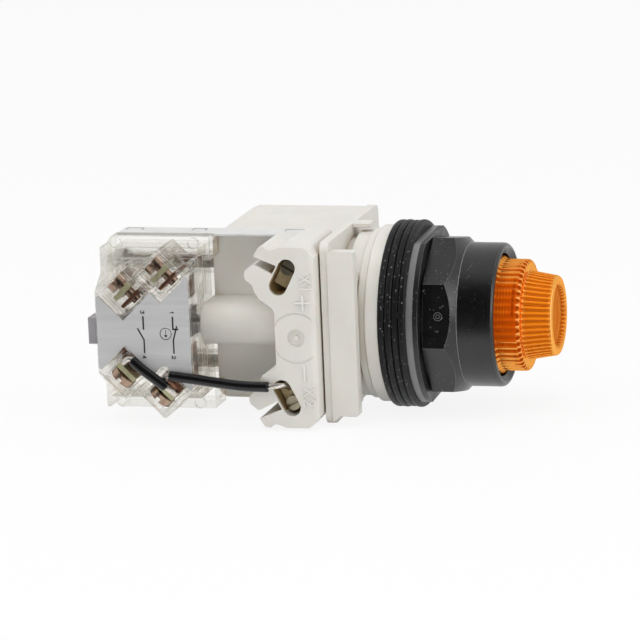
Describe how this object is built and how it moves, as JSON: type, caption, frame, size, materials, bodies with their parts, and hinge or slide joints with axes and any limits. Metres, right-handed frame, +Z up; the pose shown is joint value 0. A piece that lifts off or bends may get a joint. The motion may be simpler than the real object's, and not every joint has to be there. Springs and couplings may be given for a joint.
{
  "type": "panel pilot light",
  "caption": "Push-to-test panel pilot light with an amber fluted lens in an octagonal ring nut, a gasket stack, an ivory light module and a clear contact block with jumper wires.",
  "frame": {"origin": "on the barrel's axis at the panel seat, the front face of the operator's flange", "axes": "+X along the barrel from the contact block to the lens, +Z up as in the picture, -Y towards the terminals"},
  "size_m": [0.1066, 0.0595, 0.044],
  "materials": {
    "amber_lens": "translucent gloss",
    "black_plastic": "dusty satin gloss",
    "black_trim": "satin",
    "grey_metal": "satin",
    "gasket_rubber": "matt",
    "ivory_plastic": "satin",
    "brown_plastic": "satin",
    "clear_plastic": "clear gloss",
    "grey_plastic": "satin",
    "white_label": "satin",
    "lamp_glass": "frosted",
    "lamp_brass": "plain",
    "contact_copper": "plain",
    "plated_steel": "satin",
    "yellow_plated": "satin",
    "spring_steel": "plain",
    "wire_insulation": "satin",
    "tinned_copper": "bright"
  },
  "bodies": {
    "base": {"ring_nut": "black_plastic", "trim_washer_black": "black_trim", "trim_washer_grey": "grey_metal", "gasket_1": "gasket_rubber", "gasket_2": "gasket_rubber", "gasket_3": "gasket_rubber", "gasket_4": "gasket_rubber", "operator_body": "ivory_plastic", "return_spring": "spring_steel", "lamp_bulb": "lamp_glass", "lamp_base": "lamp_brass", "lamp_socket_shell": "lamp_brass", "lamp_centre_contact": "lamp_brass", "lamp_holder": "ivory_plastic", "light_module_housing": "ivory_plastic", "label_strip": "white_label", "supply_screws": "plated_steel", "supply_clamps": "plated_steel", "supply_strap_upper": "contact_copper", "supply_strap_lower": "contact_copper", "contact_block_base": "clear_plastic", "contact_block_cover": "clear_plastic", "label_plate": "white_label", "contact_screws": "plated_steel", "wire_clamps": "yellow_plated", "fixed_contact_1": "contact_copper", "fixed_contact_2": "contact_copper", "fixed_contact_3": "contact_copper", "fixed_contact_4": "contact_copper", "carrier_spring": "spring_steel", "block_screws": "plated_steel", "module_screws": "plated_steel", "jumper_short": "wire_insulation", "jumper_short_strands": "tinned_copper", "jumper_long": "wire_insulation", "jumper_long_strands": "tinned_copper"},
    "button": {"lens": "amber_lens", "lens_carrier": "ivory_plastic", "pusher": "brown_plastic"},
    "contact_slider": {"contact_carrier": "grey_plastic", "bridge_closed": "contact_copper", "bridge_open": "contact_copper", "bridge_closed_spring": "spring_steel", "bridge_open_spring": "spring_steel"}
  },
  "joints": [
    {"name": "push_to_test", "type": "slide", "parent": "base", "child": "button", "axis": [-1, 0, 0], "range_m": [0, 0.0035], "stiffness_N_per_m": 1500, "springref_m": -0.003, "deforming": ["return_spring"]},
    {"name": "contact_travel", "type": "slide", "parent": "base", "child": "contact_slider", "axis": [-1, 0, 0], "range_m": [0, 0.0035], "stiffness_N_per_m": 300, "springref_m": -0.003, "deforming": ["carrier_spring"]}
  ],
  "couplings": [
    {"joint": "contact_travel", "follows": "push_to_test", "ratio": 1}
  ]
}
